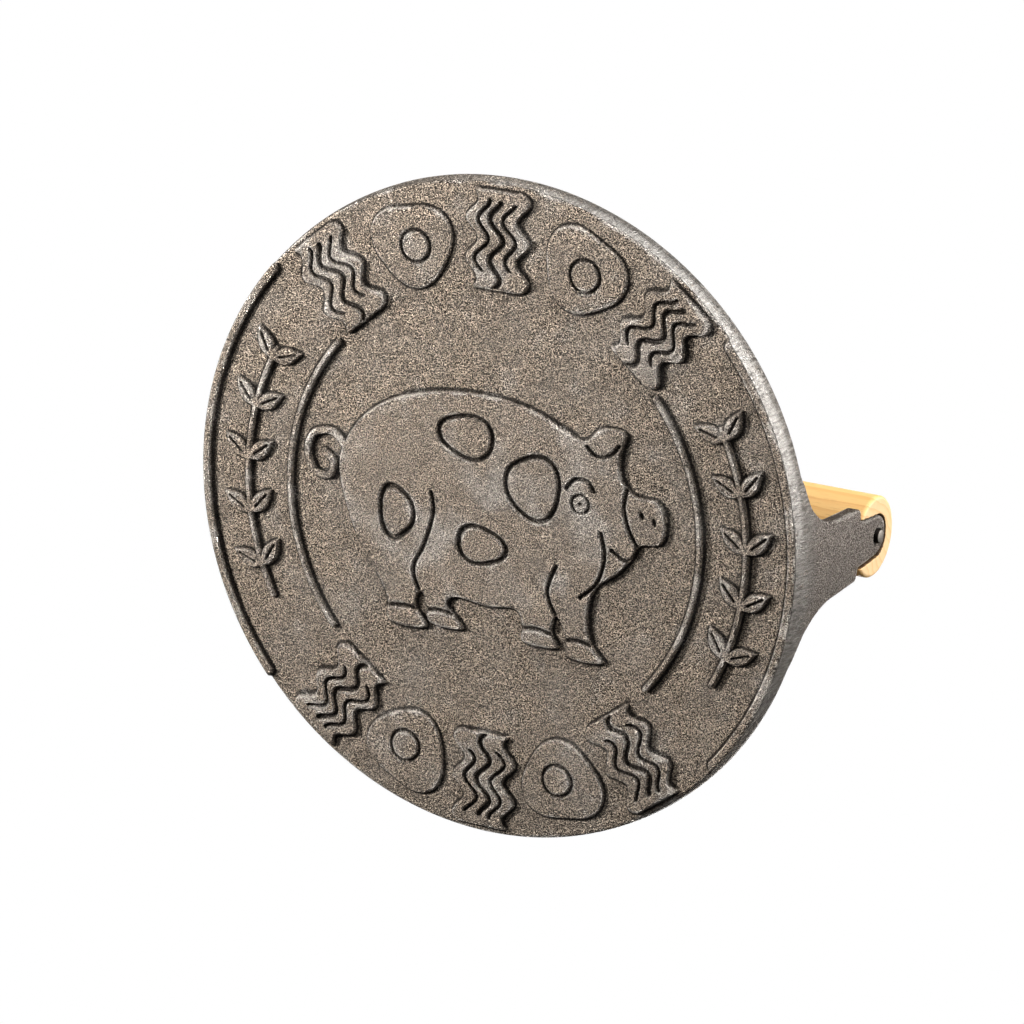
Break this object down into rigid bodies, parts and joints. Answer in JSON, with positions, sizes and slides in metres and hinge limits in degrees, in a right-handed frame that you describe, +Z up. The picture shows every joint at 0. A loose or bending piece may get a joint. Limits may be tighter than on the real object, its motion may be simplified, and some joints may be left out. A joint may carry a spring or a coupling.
{
  "type": "bacon press",
  "caption": "Round cast iron bacon press with raised farmyard ornament on its pressing face and a wooden grip held between cast lugs by a steel rod.",
  "frame": {"origin": "middle of the disc on the flat top of the raised ornament, which is the plane the press rests on", "axes": "+Z up from the pressing face toward the grip, +X along the grip toward the animal's snout, +Y toward the feet of the ornament's animal"},
  "size_m": [0.224, 0.2216, 0.0724],
  "materials": {
    "cast_iron_body": "sand-cast, warm brown-grey, ground bright round the rim, edges of the ornament worn bright",
    "grip_wood": "pale close-grained wood, smooth, thinly varnished",
    "rod_steel": "plain drawn rod, dull"
  },
  "bodies": {
    "root": {"press_casting": "cast_iron_body", "handle_grip": "grip_wood", "handle_rod": "rod_steel"}
  },
  "joints": []
}
